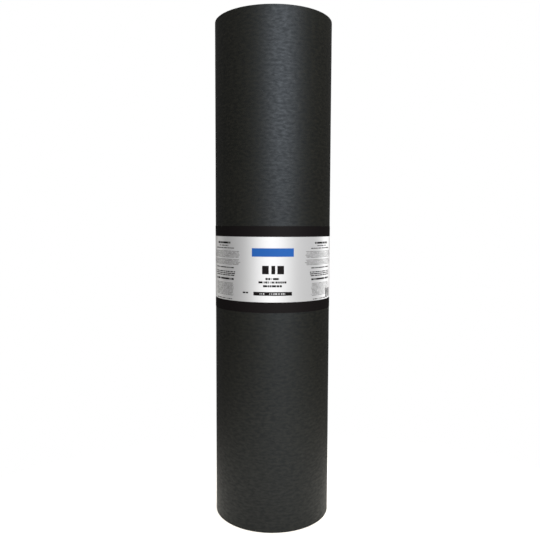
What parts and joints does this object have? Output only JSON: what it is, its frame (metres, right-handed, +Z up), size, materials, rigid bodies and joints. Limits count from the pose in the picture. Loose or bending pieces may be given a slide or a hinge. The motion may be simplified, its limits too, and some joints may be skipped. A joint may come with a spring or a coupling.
{
  "type": "roll of roofing felt",
  "caption": "Standing roll of black asphalt-saturated roofing felt, wound round an open bore and held shut by a printed paper band.",
  "frame": {"origin": "middle of the end face that the roll stands on", "axes": "+Z up, along the bore; the front of the printed band faces -Y, and its glued lap faces +Y"},
  "size_m": [0.2152, 0.2156, 0.9144],
  "materials": {
    "felt": "matte",
    "printed_paper": "satin"
  },
  "bodies": {
    "root": {"felt_roll": "felt", "label_band": "printed_paper"}
  },
  "joints": []
}
